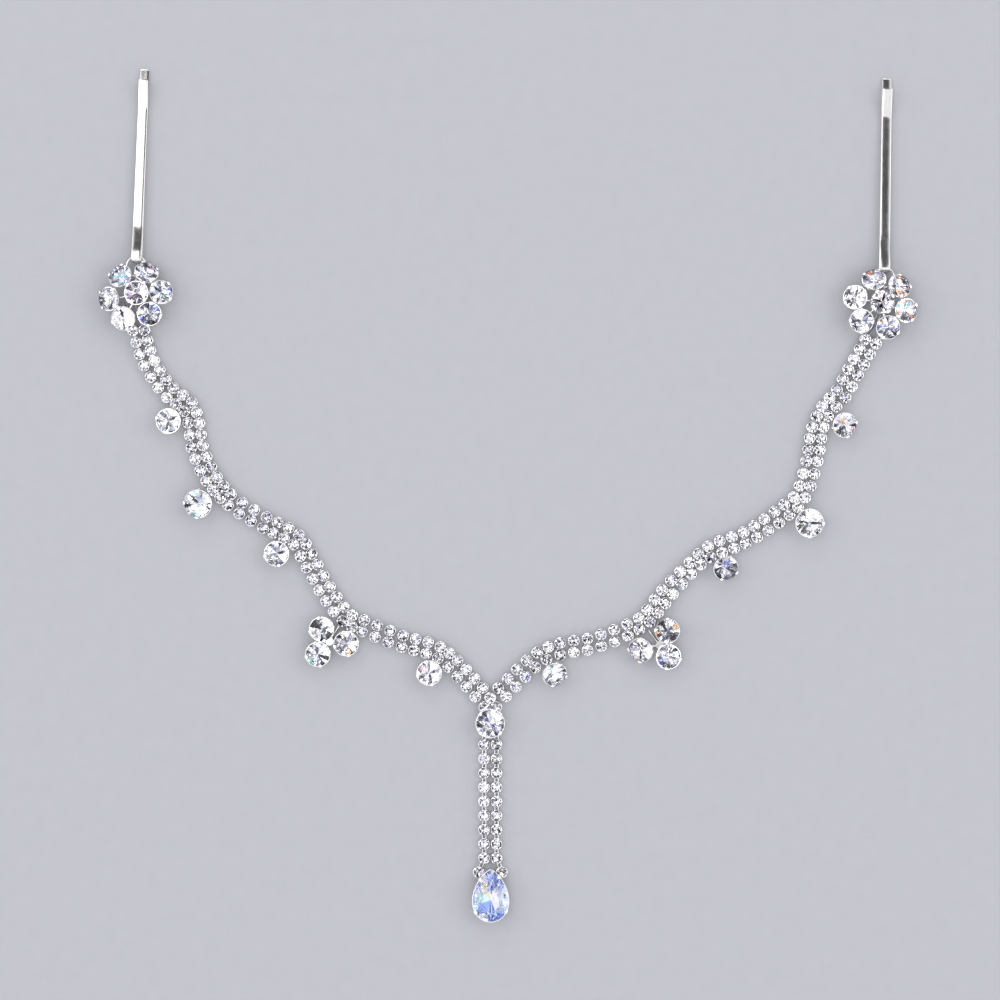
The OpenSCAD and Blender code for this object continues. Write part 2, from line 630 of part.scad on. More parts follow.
// Pear drop: an outline that narrows to a tip, widest a little below its middle
function pear_shape(t) = sin(t) * sqrt(abs(sin(t / 2)));
pear_belly = max([for (t = [0:1:180]) pear_shape(t)]);
function pear(w, l, t) = [w / 2 * pear_shape(t) / pear_belly, l / 2 * cos(t)];
function pear_outline(w, l, n) = [for (i = [0:n - 1]) pear(w, l, -360 * i / n)];
pear_grow = 4 * stone_gap;
pear_slope = atan2(pear_crown, (pear_w - pear_grow) / 2 * (1 - table_share));
pear_rim = rim_z((pear_w - pear_grow) / 2, pear_w / 2 - wall, pear_pavilion);
module pear_setting() {
    foot_w = pear_w - 2 * pear_inset;
    foot_l = pear_l - 2 * pear_inset;
    color("silver") translate([PEAR_AT.x, PEAR_AT.y, 0]) {
        difference() {
            union() {
                linear_extrude(pear_shelf + wall) polygon(pear_outline(foot_w, foot_l, 48));
                translate([0, 0, pear_shelf]) linear_extrude(pear_rim - pear_shelf)
                    polygon(pear_outline(pear_w, pear_l, 48));
            }
            translate([0, 0, floor_t]) linear_extrude(pear_rim)
                polygon(pear_outline(foot_w - 2 * wall, foot_l - 2 * wall, 48));
            translate([0, 0, pear_shelf + wall]) linear_extrude(pear_rim)
                polygon(pear_outline(pear_w - 2 * wall, pear_l - 2 * wall, 48));
        }
        for (t = PEAR_CLAWS) {
            edge = pear(pear_w - pear_grow, pear_l - pear_grow, t);
            ahead = pear(pear_w - pear_grow, pear_l - pear_grow, t + 1);
            translate([edge.x, edge.y, 0])
                rotate([90, 0, atan2(ahead.y - edge.y, ahead.x - edge.x) + 90])
                    linear_extrude(claw_w, center = true)
                        hook(pear_shelf + wall / 2, girdle_z(pear_pavilion) + girdle_t, pear_slope, claw_t,
                            claw_reach * claw_w);
        }
    }
}
module pear_stone() {
    color("aliceblue") translate([PEAR_AT.x, PEAR_AT.y, 0])
        brilliant(pear_outline(pear_w - pear_grow, pear_l - pear_grow, 16), pear_pavilion, pear_crown);
}

hair_pin(0);  // left_hair_pin
hair_pin(1);  // right_hair_pin
pin_ring(0);  // left_pin_ring
pin_ring(1);  // right_pin_ring
flower_setting(0);  // left_flower_setting
flower_setting(1);  // right_flower_setting
flower_stone(0, 0);  // left_flower_stone_1
flower_stone(0, 1);  // left_flower_stone_2
flower_stone(0, 2);  // left_flower_stone_3
flower_stone(0, 3);  // left_flower_stone_4
flower_stone(0, 4);  // left_flower_stone_5
flower_stone(0, 5);  // left_flower_stone_6
flower_middle_stone(0);  // left_flower_middle_stone
flower_stone(1, 0);  // right_flower_stone_1
flower_stone(1, 1);  // right_flower_stone_2
flower_stone(1, 2);  // right_flower_stone_3
flower_stone(1, 3);  // right_flower_stone_4
flower_stone(1, 4);  // right_flower_stone_5
flower_stone(1, 5);  // right_flower_stone_6
flower_middle_stone(1);  // right_flower_middle_stone
chain_cups(0);  // left_chain_cups
chain_cups(1);  // right_chain_cups
chain_stones(0);  // left_chain_stones
chain_stones(1);  // right_chain_stones
drop_setting(0, 0);  // left_drop_1_setting
drop_setting(0, 1);  // left_drop_2_setting
drop_setting(0, 2);  // left_drop_3_setting
drop_setting(0, 3);  // left_drop_4_setting
drop_setting(1, 0);  // right_drop_1_setting
drop_setting(1, 1);  // right_drop_2_setting
drop_setting(1, 2);  // right_drop_3_setting
drop_setting(1, 3);  // right_drop_4_setting
drop_stone(0, 0);  // left_drop_1_stone
drop_stone(0, 1);  // left_drop_2_stone
drop_stone(0, 2);  // left_drop_3_stone
drop_stone(0, 3);  // left_drop_4_stone
drop_stone(1, 0);  // right_drop_1_stone
drop_stone(1, 1);  // right_drop_2_stone
drop_stone(1, 2);  // right_drop_3_stone
drop_stone(1, 3);  // right_drop_4_stone
cluster_setting(0);  // left_cluster_setting
cluster_setting(1);  // right_cluster_setting
cluster_stone(0, 0);  // left_cluster_stone_1
cluster_stone(0, 1);  // left_cluster_stone_2
cluster_stone(0, 2);  // left_cluster_stone_3
cluster_stone(1, 0);  // right_cluster_stone_1
cluster_stone(1, 1);  // right_cluster_stone_2
cluster_stone(1, 2);  // right_cluster_stone_3
centre_setting();
centre_stone();
drop_strand_cups();
drop_strand_stones();
pear_setting();
pear_stone();
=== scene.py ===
import math
import bpy
import numpy as np
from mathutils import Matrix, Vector


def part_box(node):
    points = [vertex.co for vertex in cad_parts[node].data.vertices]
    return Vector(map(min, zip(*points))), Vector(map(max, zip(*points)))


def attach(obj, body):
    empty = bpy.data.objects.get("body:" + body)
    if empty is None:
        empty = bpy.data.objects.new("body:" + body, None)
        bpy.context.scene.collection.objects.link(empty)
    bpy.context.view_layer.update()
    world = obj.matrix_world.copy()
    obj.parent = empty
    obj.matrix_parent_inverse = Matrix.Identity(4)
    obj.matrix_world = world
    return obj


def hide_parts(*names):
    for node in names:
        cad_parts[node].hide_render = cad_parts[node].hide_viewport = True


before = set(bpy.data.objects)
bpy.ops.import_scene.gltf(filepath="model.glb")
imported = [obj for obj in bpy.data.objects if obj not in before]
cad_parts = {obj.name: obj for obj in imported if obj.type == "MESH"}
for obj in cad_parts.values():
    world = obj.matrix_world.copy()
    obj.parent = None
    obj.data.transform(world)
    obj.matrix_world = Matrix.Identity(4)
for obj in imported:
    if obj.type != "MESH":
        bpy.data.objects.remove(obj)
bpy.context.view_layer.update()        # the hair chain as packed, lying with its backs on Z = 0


# The table it lies on, the camera and the light. The table is a pale painted board. The camera
# looks straight down at the middle of the photographed field, 267 mm wide. Soft boxes stand round
# the table with gaps between them, because cut stones and plated metal show what stands about.
FIELD_WIDTH = 0.267
FIELD_MIDDLE = (0.0026, 0.0596)
LENS_MM = 100.0
SENSOR_MM = 36.0
STONE_LEVEL = 0.002
MM_A_METRE = 1000.0


def linear(code):
    """An sRGB hex colour such as "C8C8CC" as linear red, green, blue and alpha: a part up to 0.04045
    is divided by 12.92, and a larger one gains 0.055, is divided by 1.055 and is raised to 2.4."""
    share = np.array([int(code[i:i + 2], 16) for i in (0, 2, 4)]) / 255.0
    low, high = share / 12.92, ((share + 0.055) / 1.055) ** 2.4
    return (*np.where(share <= 0.04045, low, high).tolist(), 1.0)


def fill(node, inputs):
    """Fills inputs of a node, by name or number, each with a value or with another node's output."""
    for name, value in inputs.items():
        if isinstance(value, bpy.types.NodeSocket):
            node.id_data.links.new(value, node.inputs[name])
        else:
            node.inputs[name].default_value = value


def add(owner, kind, inputs=None, **settings):
    """Adds a node to a finish or to the room, sets its properties and fills its inputs."""
    node = owner.node_tree.nodes.new("ShaderNode" + kind)
    for name, value in settings.items():
        setattr(node, name, value)
    fill(node, inputs or {})
    return node


def finish_of(name, **sockets):
    """A named finish and its shader, whose sockets hold what is the same all over the surface."""
    finish = bpy.data.materials.new(name)
    finish.use_nodes = True
    shader = finish.node_tree.nodes["Principled BSDF"]
    fill(shader, {socket.replace("_", " "): value for socket, value in sockets.items()})
    return finish, shader


def piece(name, form, finishes, worn=None, painted_light=None, soft_edge=None):
    """One mesh object at the origin from a form: its points in millimetres and its arrays of faces.

    worn is the finish of each face, and soft_edge the angle in degrees below which neighbouring faces
    shade as one. The colour given for each face is the painted light and shade that a foil shows, and is
    stored as its facet colour."""
    points, faces = form
    mesh = bpy.data.meshes.new(name)
    sides = np.concatenate([np.full(len(f), f.shape[1]) for f in faces])
    mesh.vertices.add(len(points))
    mesh.vertices.foreach_set("co", (points / MM_A_METRE).ravel())
    mesh.loops.add(int(sides.sum()))
    mesh.loops.foreach_set("vertex_index", np.concatenate([f.ravel() for f in faces]))
    mesh.polygons.add(len(sides))
    mesh.polygons.foreach_set("loop_start", np.cumsum(sides) - sides)
    if worn is not None:
        mesh.polygons.foreach_set("material_index", worn)
    mesh.update(calc_edges=True)
    mesh.polygons.foreach_set("use_smooth", np.full(len(sides), soft_edge is not None))
    if soft_edge is not None:
        mesh.set_sharp_from_angle(angle=math.radians(soft_edge))
    if painted_light is not None:
        colours = mesh.attributes.new("facet", "FLOAT_COLOR", "CORNER")
        colours.data.foreach_set("color", np.repeat(painted_light, sides, axis=0).ravel())
    for finish in finishes:
        mesh.materials.append(finish)
    made = bpy.data.objects.new(name, mesh)
    bpy.context.scene.collection.objects.link(made)
    return made


# Eggshell paint, rolled on: it scatters almost all light and shows a faint mottle, 260 to a metre.
# A colour Mix node has its two colours at inputs 6 and 7 and its result at output 2.
board_paint, board_shader = finish_of("eggshell_paint", Roughness=0.85, Specular_IOR_Level=0.3)
place = add(board_paint, "TexCoord").outputs["Object"]
mottle = add(board_paint, "TexNoise", {"Vector": place, "Scale": 260.0, "Detail": 3.0}).outputs["Fac"]
mixed = add(board_paint, "Mix", {"Factor": mottle, 6: linear("A4A5AA"), 7: linear("A9AAAF")},
            data_type="RGBA")
fill(board_shader, {"Base Color": mixed.outputs[2]})

BOARD_HALF = 1600.0
BOARD_DROP = 0.02
corner = np.array([[-1, -1], [1, -1], [1, 1], [-1, 1]]) * BOARD_HALF
table_top = np.column_stack([corner, np.full(4, -BOARD_DROP)])
piece("table_top", (table_top, [np.arange(4)[None]]), [board_paint])

lens = bpy.data.cameras.new("camera")
lens.lens, lens.sensor_width = LENS_MM, SENSOR_MM
lens.clip_start, lens.clip_end = 0.01, 10.0
camera = bpy.data.objects.new("camera", lens)
camera.location = (*FIELD_MIDDLE, STONE_LEVEL + FIELD_WIDTH * LENS_MM / SENSOR_MM)
bpy.context.scene.collection.objects.link(camera)
bpy.context.scene.camera = camera

# Each soft box: place in metres, width and height in metres, and brightness against white. The two
# that hang over the table face straight down, and the panels face the middle of the field.
SOFT_BOXES = {
    "key_box": ((-0.34, 0.13, 1.25), (0.62, 0.62), 2.2),
    "fill_box": ((0.30, -0.30, 1.20), (0.30, 0.30), 2.0),
    "left_panel": ((-1.00, 0.28, 0.62), (0.70, 0.50), 1.7),
    "right_panel": ((1.00, 0.10, 0.66), (0.60, 0.50), 2.6),
    "front_panel": ((0.10, -1.05, 0.62), (0.75, 0.45), 1.7),
    "back_panel": ((-0.20, 1.20, 0.66), (0.75, 0.45), 1.9),
    "corner_panel": ((0.80, 0.95, 0.80), (0.30, 0.35), 2.6),
}
for name, (place_at, size, brightness) in SOFT_BOXES.items():
    box = bpy.data.lights.new(name, "AREA")
    box.shape, box.size, box.size_y = "RECTANGLE", *size
    box.energy = brightness * math.pi * size[0] * size[1]
    lamp = bpy.data.objects.new(name, box)
    lamp.location = place_at
    if name.endswith("panel"):
        towards = Vector((*FIELD_MIDDLE, 0.0)) - lamp.location
        lamp.rotation_euler = towards.to_track_quat("-Z", "Y").to_euler()
    lamp.visible_camera = False
    bpy.context.scene.collection.objects.link(lamp)

# The room is white, apart from an unlit patch of ceiling over the table. Level metal shows that
# patch as grey, and slopes show the white walls. The light falls from the walls' strength to the
# patch's between two cosines of the angle to the patch's middle.
DARK_WAY = (0.0, 0.26, 0.966)
DARK_COSINES, ROOM_STRENGTHS = (0.925, 0.962), (1.2, 0.11)
room = bpy.data.worlds.new("room")
bpy.context.scene.world = room
room.use_nodes = True
way = add(room, "TexCoord").outputs["Generated"]
cosine = add(room, "VectorMath", {0: way, 1: DARK_WAY}, operation="DOT_PRODUCT").outputs["Value"]
walls = add(room, "MapRange", {"Value": cosine, "From Min": DARK_COSINES[0], "From Max": DARK_COSINES[1],
                               "To Min": ROOM_STRENGTHS[0], "To Max": ROOM_STRENGTHS[1]})
fill(room.node_tree.nodes["Background"], {"Color": linear("F5F5F8"), "Strength": walls.outputs["Result"]})
bpy.context.scene.view_settings.view_transform = "Standard"
# light is turned back many times between a stone's facets before it leaves
bpy.context.scene.cycles.glossy_bounces = 12


# Round stones: the flowers, drops, clusters and centre. Each is machine-cut lead glass with a
# flat table, 8 stars, 8 kites and 16 upper facets over a thin girdle, and 24 facets below it that
# are backed with silver foil. It lies loose in its claws, where the CAD's stone lies.
POINT_MM = 0.41
GIRDLE_MM = 0.15
# shares of a stone's radius: how far out the table, the stars and the low points lie, how deep the
# stone is below its girdle, and how high its table is above it
TABLE_SHARE, STAR_SHARE, LOWER_SHARE = 0.55, 0.78, 0.30
PAVILION_SHARE, CROWN_SHARE = 0.74, 0.3195
ROUND_GIRDLE = 32
LEVEL_SINE = 0.01
SIDES = ("left", "right")
PETALS, DROPS, BUNCH = range(1, 7), range(1, 5), range(1, 4)


def corners(node):
    """The different points of a CAD node in millimetres. Its mesh is loose triangles, so points that
    agree to a thousandth of a millimetre count once."""
    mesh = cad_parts[node].data
    flat = np.empty(3 * len(mesh.vertices), np.float32)
    mesh.vertices.foreach_get("co", flat)
    return np.unique(np.round(flat.reshape(-1, 3).astype(float) * MM_A_METRE, 3), axis=0)


def unit(v):
    """The direction of each vector: the vector over its length."""
    return v / np.linalg.norm(v, axis=-1, keepdims=True)


def seat_of(node, heading=0.0):
    """Where a stone's setting stands: its middle at the back, its x, y and z axes as rows, and the
    stone's radius. The z axis runs from the stone's point through the mean of its corners. The
    x axis leans the way the stone leans, or lies along the heading in degrees if the stone is flat,
    which it is where the sine of its lean is below LEVEL_SINE."""
    own = corners(node)
    point = own[own[:, 2].argmin()]
    up = unit(own.mean(0) - point)
    ahead = math.radians(heading)
    flat = up[:2] if np.hypot(*up[:2]) > LEVEL_SINE else (math.cos(ahead), math.sin(ahead))
    level = np.array([*flat, 0.0])
    across = unit(level - level @ up * up)
    off = own - point
    radius = np.linalg.norm(off - np.outer(off @ up, up), axis=1).max()
    return point - POINT_MM * up, np.stack([across, np.cross(up, across), up]), radius


def circle(angles):
    """Points of a circle of radius 1 at some angles: (cos a, sin a)."""
    return np.column_stack([np.cos(angles), np.sin(angles)])


def level_ring(outline, share, z):
    """An outline's points drawn in to a share of their distance from the middle, at the height z."""
    return np.column_stack([outline * share, np.full(len(outline), z)])


def brilliant(outline, girdle, pavilion, crown, low_share=LOWER_SHARE):
    """A brilliant cut over a closed outline of n points, n a multiple of 16, and which of its faces
    are backed with foil.

    The table's corners are the outline's points at eighths, and the stars' and low points' those half
    an eighth on, each times a share. Heights put each kite and each long lower facet in a plane."""
    n = len(outline)
    mains, halves = np.arange(8) * n // 8, np.arange(8) * n // 8 + n // 16
    half_turn = math.cos(math.radians(22.5))
    edge = girdle + GIRDLE_MM
    star_z = edge + crown * (1 - STAR_SHARE * half_turn) / (1 - TABLE_SHARE)
    low_z = girdle - pavilion * (1 - low_share * half_turn)
    points = np.concatenate([
        level_ring(outline[mains], TABLE_SHARE, edge + crown),
        level_ring(outline[halves], STAR_SHARE, star_z),
        level_ring(outline, 1.0, edge), level_ring(outline, 1.0, girdle),
        level_ring(outline[halves], low_share, low_z), [[0.0, 0.0, girdle - pavilion]],
    ])
    i, k = np.arange(8), np.arange(n)
    star, upper, lower, low, tip = 8 + i, 16 + k, 16 + n + k, 16 + 2 * n + i, np.full(8, 16 + 2 * n + 8)
    run = np.arange(n // 16 + 1)
    first, second = (mains[:, None] + run) % n, (halves[:, None] + run) % n
    faces = [
        i[None], np.column_stack([i, star, (i + 1) % 8]),
        np.column_stack([i, np.roll(star, 1), upper[mains], star]),
        np.column_stack([star, upper[first]]), np.column_stack([star, upper[second]]),
        np.column_stack([lower, np.roll(lower, -1), np.roll(upper, -1), upper]),
        np.column_stack([low, lower[first][:, ::-1]]), np.column_stack([low, lower[second][:, ::-1]]),
        np.column_stack([tip, low, lower[mains], np.roll(low, 1)]),
    ]
    backed = [False] * 6 + [True] * 3
    return (points, faces), np.repeat(backed, [len(f) for f in faces]).astype(int)


def repeat(form, places, axes):
    """One form at many places: each point is the place plus its x, y and z times the place's axes."""
    points, faces = form
    many = places[:, None] + np.einsum("vk,nkj->nvj", points, axes)
    step = len(points) * np.arange(len(places))
    return many.reshape(-1, 3), [(f + step[:, None, None]).reshape(-1, f.shape[1]) for f in faces]


# Lead glass, cut and polished: clear, with a faint cool cast in its thickness
glass, _ = finish_of("polished_lead_glass", Base_Color=linear("FDFDFF"), Roughness=0.0, IOR=1.6,
                     Transmission_Weight=1.0)
# Silver foil behind the lower facets: a mirror through the glass, whose colour on each face is painted.
# White is the bare mirror. Lavender and grey are painted reflections of the dimmer room, with a faint
# lavender of the glass's own cast. The darkest greys are painted shade, and a few single colours are
# painted fire, the colours that the glass splits from white light. Each colour has its share of the
# facets, and the single colours come after the whites and greys.
PAINTED_FACET_LIGHT = {
    "FFFFFF": 40, "F9F9FB": 16, "E6E6EF": 12, "BFBED0": 12, "7B7C86": 12, "222329": 9,
    "A3B4FF": 1.0, "5C74EE": 0.4, "8FE3DC": 0.5, "FFD3A0": 0.7, "F9A45A": 0.4, "FFE0EA": 1.0,
}
# the first this many colours are white, lavender and greys: bare mirror, painted reflections and painted
# shade
PAINTED_WHITES_AND_GREYS = 6
# a first seed for the draws, and how strongly flower stones and small stones show the painted fire
FIRST_SEED, FLOWER_SPARKS, SMALL_SPARKS = 72, 1.6, 0.08


def foil_of(name, roughness):
    """A foil finish: a metal whose colour on each face is painted light and shade, read from the face's
    colour attribute.
    """
    finish, shader = finish_of(name, Metallic=1.0, Roughness=roughness)
    facet = add(finish, "Attribute", attribute_name="facet")
    fill(shader, {"Base Color": facet.outputs["Color"]})
    return finish


def painted_foil_light(backed, seed, sparks=1.0):
    """A colour of each face, painted light and shade: a seeded draw from the painted colours, by their
    shares, where sparks scales the shares of the single colours, the painted fire."""
    shares = np.array(list(PAINTED_FACET_LIGHT.values()))
    shares[PAINTED_WHITES_AND_GREYS:] *= sparks
    draw = np.random.default_rng(seed).choice(len(shares), len(backed), p=shares / shares.sum())
    return np.array([linear(code) for code in PAINTED_FACET_LIGHT])[draw]


foil = foil_of("silver_foil_painted_light", 0.03)
round_outline = circle(np.linspace(0, 2 * np.pi, ROUND_GIRDLE, endpoint=False))
# the flowers' middle stones lie flat, and are turned by these degrees
MIDDLE_HEADING = {"left": 3.0, "right": -15.0}
round_seats = {}
for side in SIDES:
    names = [f"{side}_flower_stone_{i}" for i in PETALS]
    names += [f"{side}_drop_{i}_stone" for i in DROPS]
    names += [f"{side}_cluster_stone_{i}" for i in BUNCH]
    round_seats |= {name: seat_of(name) for name in names}
    middle = f"{side}_flower_middle_stone"
    round_seats[middle] = seat_of(middle, MIDDLE_HEADING[side])
round_seats["centre_stone"] = seat_of("centre_stone")
for number, (node, (place_at, axes, radius)) in enumerate(round_seats.items()):
    pavilion = PAVILION_SHARE * radius
    cut, backed = brilliant(round_outline * radius, POINT_MM + pavilion, pavilion, CROWN_SHARE * radius)
    # each stone's foil shows painted light and shade, and the flowers' stones show more painted fire
    painted_light = painted_foil_light(backed, FIRST_SEED + number, FLOWER_SPARKS if "flower" in node else 1.0)
    stone = piece(node + "_cut", repeat(cut, place_at[None], axes[None]), [glass, foil], backed, painted_light)
    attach(stone, "root")
    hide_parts(node)


# Small stones: 197 round chatons of the same foiled glass, 2.7 mm wide, with a table, eight facets
# round it and 24 below. Each sits a touch off level in its cup, so they glint apart.
CHIP_R, CHIP_PAVILION, CHIP_CROWN = 1.35, 0.85, 0.60
CHIP_LOW_R, CHIP_LOW_RISE = 0.66, 0.38
CHIP_TILT, TILT_SEED = 1.6, 11
# a stone's point is its one corner less than POINT_REACH above POINT_MM, and the metal that reaches
# over a small stone is above CLAW_ABOVE and less than CLAW_WITHIN from the stone's middle
POINT_REACH, CLAW_ABOVE, CLAW_WITHIN = 0.05, 1.35, 1.34
# each node of small stones, and the settings that they lie in
SMALL_NODES = {
    "left_chain_stones": ["left_chain_cups"], "right_chain_stones": ["right_chain_cups"],
    "drop_strand_stones": ["centre_setting", "drop_strand_cups"],
}


def chip():
    """A small stone as points and faces: eight-sided rings at the table and the girdle, a ring of
    low points half a step round, and a point."""
    angle = np.radians(45 * np.arange(8) + 22.5)
    girdle = POINT_MM + CHIP_PAVILION
    points = np.concatenate([
        level_ring(circle(angle), CHIP_R * TABLE_SHARE, girdle + CHIP_CROWN),
        level_ring(circle(angle), CHIP_R, girdle),
        level_ring(circle(angle + np.pi / 8), CHIP_LOW_R, POINT_MM + CHIP_LOW_RISE), [[0, 0, POINT_MM]],
    ])
    i, j = np.arange(8), (np.arange(8) + 1) % 8
    faces = [i[None], np.column_stack([i, 8 + i, 8 + j, j]), np.column_stack([8 + j, 8 + i, 16 + i]),
             np.column_stack([16 + i, 16 + j, 8 + j]), np.column_stack([16 + j, 16 + i, np.full(8, 24)])]
    return points, faces


def claw_heading(places, metal):
    """The direction of the first claw of each cup, from the metal's points that reach over its stone:
    with four claws, the mean of their angles times four, over four."""
    over = corners(metal)
    over = over[over[:, 2] > CLAW_ABOVE]
    headings = []
    for x, y in places:
        off = over[:, :2] - (x, y)
        own = off[np.hypot(*off.T) < CLAW_WITHIN]
        headings.append(np.angle(np.exp(4j * np.arctan2(own[:, 1], own[:, 0])).mean()) / 4)
    return np.array(headings)


def turned(angles):
    """Axes turned about z by each angle: x is (cos, sin, 0), y is (-sin, cos, 0) and z is up."""
    c, s, o = np.cos(angles), np.sin(angles), np.zeros(len(angles))
    return np.stack([np.stack([c, s, o], -1), np.stack([-s, c, o], -1), np.stack([o, o, o + 1], -1)], 1)


def tilted(axes, degrees, seed):
    """Axes leaned about a random level line by a random angle up to the given one: the z axis moves
    sideways by the sine of the lean, and x and y are made square to it again."""
    draw = np.random.default_rng(seed)
    way, lean = draw.uniform(0, 2 * np.pi, len(axes)), np.radians(draw.uniform(0, degrees, len(axes)))
    up = np.stack([np.sin(lean) * np.cos(way), np.sin(lean) * np.sin(way), np.cos(lean)], -1)
    x = unit(axes[:, 0] - np.einsum("nk,nk->n", axes[:, 0], up)[:, None] * up)
    return np.stack([x, np.cross(up, x), up], 1)


small_cut = chip()
cup_places, cup_turns = {}, {}
for number, (node, metals) in enumerate(SMALL_NODES.items()):
    own = corners(node)
    middles = own[own[:, 2] < POINT_MM + POINT_REACH][:, :2]
    # the centre setting's cups are those above the middle of its stone, which is at y = 0
    beyond = middles[:, 1] > 0
    shares = [middles] if len(metals) == 1 else [middles[beyond], middles[~beyond]]
    for metal, share in zip(metals, shares):
        cup_places[metal], cup_turns[metal] = share, claw_heading(share, metal)
    middles = np.concatenate(shares)
    axes = tilted(turned(np.concatenate([cup_turns[m] for m in metals])), CHIP_TILT, TILT_SEED + number)
    girdle = POINT_MM + CHIP_PAVILION
    form = repeat((small_cut[0] - (0, 0, girdle), small_cut[1]), level_ring(middles, 1.0, girdle), axes)
    # the faces of all stones come kind by kind: tables, crown facets, and three rings below
    worn = np.repeat([0, 0, 1, 1, 1], [len(kind) for kind in form[1]])
    # their foil shows painted light and shade, with little painted fire
    painted_light = painted_foil_light(worn, FIRST_SEED - 1 - number, SMALL_SPARKS)
    stones = piece(node + "_cut", form, [glass, foil], worn, painted_light)
    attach(stones, "root")
    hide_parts(node)


# Small cups: pressed brass, silver plated, each with a turned rim and four claws bent over its
# stone. Cups are soldered to the next along the row and to the row beside it, over link wires.
CUP_R, CUP_RIM = 1.55, 1.0985
LINK_WIRE, LINK_GAP, SOLDER_WIRE, BACK_GAP = 0.36, 0.90, 0.60, 0.03
WIRE_Z, SOLDER_Z = LINK_WIRE / 2 + BACK_GAP, SOLDER_WIRE / 2 + BACK_GAP
# cups whose middles are nearer than NEIGHBOUR_MM are linked, by wires from LINK_INSET inside the edge
NEIGHBOUR_MM, LINK_INSET = 3.45, 0.2
# edges blunter than this many degrees are rounded by the polishing and shade smooth
POLISHED_EDGE = 38
CUP_PROFILE = [(1.38, 0.0), (CUP_R, 0.28), (CUP_R, 1.04), (1.47, CUP_RIM), (1.31, 1.05), (1.30, 0.30)]
CLAW_LINE = [(1.58, 0.35), (1.61, 1.15), (1.60, 1.37), (1.44, 1.60), (1.12, 1.72)]
CLAW_HALF_WIDTH = [0.25, 0.30, 0.33, 0.32, 0.18]
CLAW_HALF_THICK = [0.085, 0.10, 0.11, 0.10, 0.05]


def bands(rows, columns):
    """Quads between neighbouring rows of a grid of points whose columns close up round the form."""
    i, j = np.meshgrid(np.arange(rows - 1), np.arange(columns), indexing="ij")
    k = (j + 1) % columns
    quads = np.stack([i * columns + j, i * columns + k, (i + 1) * columns + k, (i + 1) * columns + j], -1)
    return quads.reshape(-1, 4)


def capped(points, rows, columns):
    """A form from a grid of points: the bands, and a flat face at each end."""
    ends = [np.arange(columns)[::-1][None], np.arange(columns)[None] + (rows - 1) * columns]
    return points.reshape(-1, 3), [bands(rows, columns), np.concatenate(ends)]


def lathe(profile, sides):
    """A form turned on the z axis: a profile point (r, z) becomes the ring (r cos a, r sin a, z)."""
    r, z = np.array(profile, float).T[:, :, None]
    a = np.linspace(0, 2 * np.pi, sides, endpoint=False)
    grid = np.stack([r * np.cos(a), r * np.sin(a), z + 0 * a], -1)
    return capped(grid, len(profile), sides)


def sweep(line, side, section, widths, thicknesses):
    """A section carried along a line of points: its x runs along side, its y square to side and to
    the line, and each is scaled by the width and the thickness at that point of the line."""
    line = np.array(line, float)
    ahead = unit(np.gradient(line, axis=0))
    side = np.broadcast_to(unit(np.array(side, float)), line.shape)
    upward = unit(np.cross(ahead, side))
    x = np.array(widths)[:, None] * section[:, 0]
    y = np.array(thicknesses)[:, None] * section[:, 1]
    grid = line[:, None] + x[..., None] * side[:, None] + y[..., None] * upward[:, None]
    return capped(grid, len(line), len(section))


def oval(count, square=1.0):
    """A section of count points: (cos a, sin a) with each part raised to a power below 1 to square it."""
    points = circle(np.linspace(0, 2 * np.pi, count, endpoint=False) + np.pi / count)
    return np.sign(points) * np.abs(points) ** square


def join(forms):
    """Several forms as one: points in a row, faces shifted to their own points."""
    shift = np.cumsum([0] + [len(p) for p, _ in forms])
    return np.concatenate([p for p, _ in forms]), [f + s for (_, fs), s in zip(forms, shift) for f in fs]


def claw_ring(line, half_widths, half_thicknesses, section, count=4):
    """Claws round a stone: one swept along a line of (out, up) points, and turned into place count
    times, a count-th of a full turn apart."""
    line = np.array([(r, 0.0, z) for r, z in line])
    claw = sweep(line, (0, 1, 0), section, half_widths, half_thicknesses)
    angles = 2 * np.pi * np.arange(count) / count
    return repeat(claw, np.zeros((count, 3)), turned(angles))


def rods(starts, ends, thickness, sides=8):
    """Round wires between pairs of points: a unit column stretched to each, its z from start to end."""
    starts, ends = np.array(starts, float).reshape(-1, 3), np.array(ends, float).reshape(-1, 3)
    along = ends - starts
    level = np.cross(along, (0, 0, 1))
    level[np.linalg.norm(level, axis=1) < 1e-6] = (1, 0, 0)
    x = unit(level) * thickness / 2
    y = unit(np.cross(along, x)) * thickness / 2
    return repeat(lathe([(1, 0), (1, 1)], sides), starts, np.stack([x, y, along], 1))


# Silver-plated brass, barrel polished after soldering: bright and slightly pebbled, with a grain
# of about 0.15 mm. The polish comes and goes over a millimetre or so, and the metal is darker and
# rougher towards the bottom, below 1.1 mm.
plate, plate_shader = finish_of("silver_plated_brass", Metallic=1.0)
place = add(plate, "TexCoord").outputs["Object"]
grain = add(plate, "TexNoise", {"Vector": place, "Scale": 1 / 0.00015, "Detail": 2.0})
cloud = add(plate, "TexNoise", {"Vector": place, "Scale": 1 / 0.0012, "Detail": 4.0})
height = add(plate, "SeparateXYZ", {"Vector": place}).outputs["Z"]
